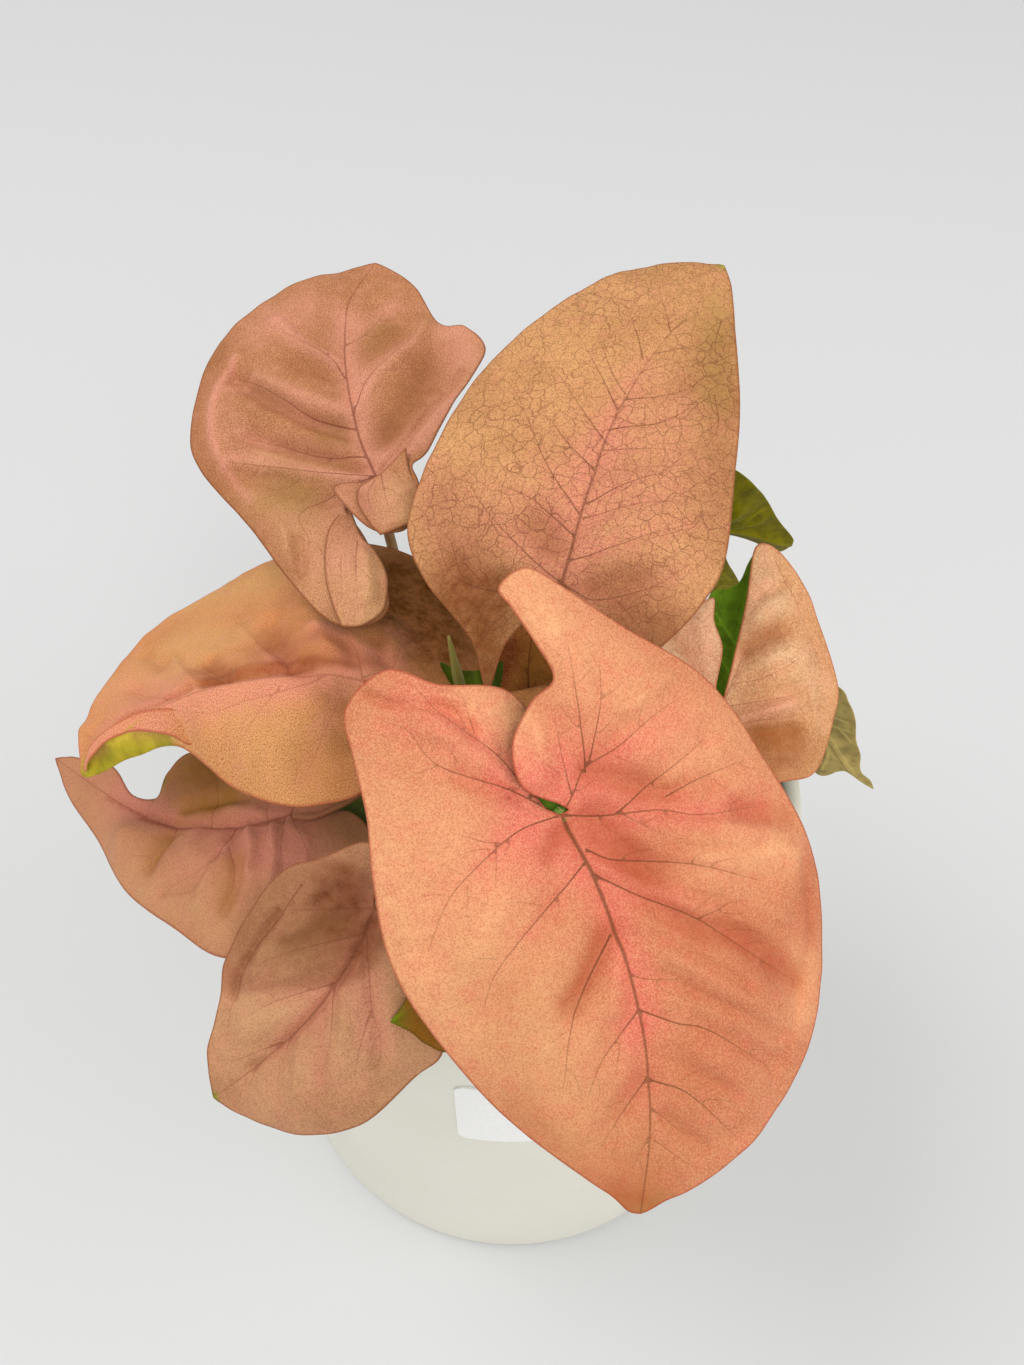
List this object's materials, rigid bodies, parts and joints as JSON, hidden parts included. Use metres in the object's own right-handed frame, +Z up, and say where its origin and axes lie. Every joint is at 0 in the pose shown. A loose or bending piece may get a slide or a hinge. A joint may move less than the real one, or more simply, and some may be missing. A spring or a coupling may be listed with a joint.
{
  "type": "potted plant",
  "caption": "Arrowhead plant with pink to tan arrow-shaped leaves on slender petioles, standing in potting mix in a plain round off-white pot with a blank sticker on its front wall.",
  "frame": {"origin": "centre of the pot's flat base, on the surface it stands on", "axes": "+Z up along the pot's axis, -Y towards the viewer of the picture, +X to the viewer's right"},
  "size_m": [0.1523, 0.1437, 0.1687],
  "materials": {
    "pot_white": "smooth satin",
    "potting_mix": "rough, crumbly peat and bark",
    "sticker": "smooth",
    "petiole_green": "satin plant stem",
    "blade_front": "satin leaf",
    "blade_back": "satin leaf",
    "blade_back_left": "satin leaf",
    "blade_left": "satin leaf",
    "blade_low_left": "satin leaf",
    "blade_low_front": "satin leaf",
    "blade_low_small": "satin leaf",
    "blade_right": "satin leaf",
    "blade_right_young": "satin leaf",
    "blade_far_right": "satin leaf",
    "blade_back_right": "satin leaf",
    "blade_centre": "satin leaf",
    "blade_young": "satin leaf",
    "new_leaf": "satin leaf"
  },
  "bodies": {
    "root": {"pot": "pot_white", "potting_mix": "potting_mix", "sticker": "sticker", "stem_front": "petiole_green", "stem_back": "petiole_green", "stem_left": "petiole_green", "stem_right": "petiole_green", "blade_front": "blade_front", "blade_back": "blade_back", "blade_back_left": "blade_back_left", "blade_left": "blade_left", "blade_low_left": "blade_low_left", "blade_low_front": "blade_low_front", "blade_low_small": "blade_low_small", "blade_right": "blade_right", "blade_right_young": "blade_right_young", "blade_far_right": "blade_far_right", "blade_back_right": "blade_back_right", "blade_centre": "blade_centre", "blade_young": "blade_young", "new_leaf_roll": "new_leaf"}
  },
  "joints": []
}
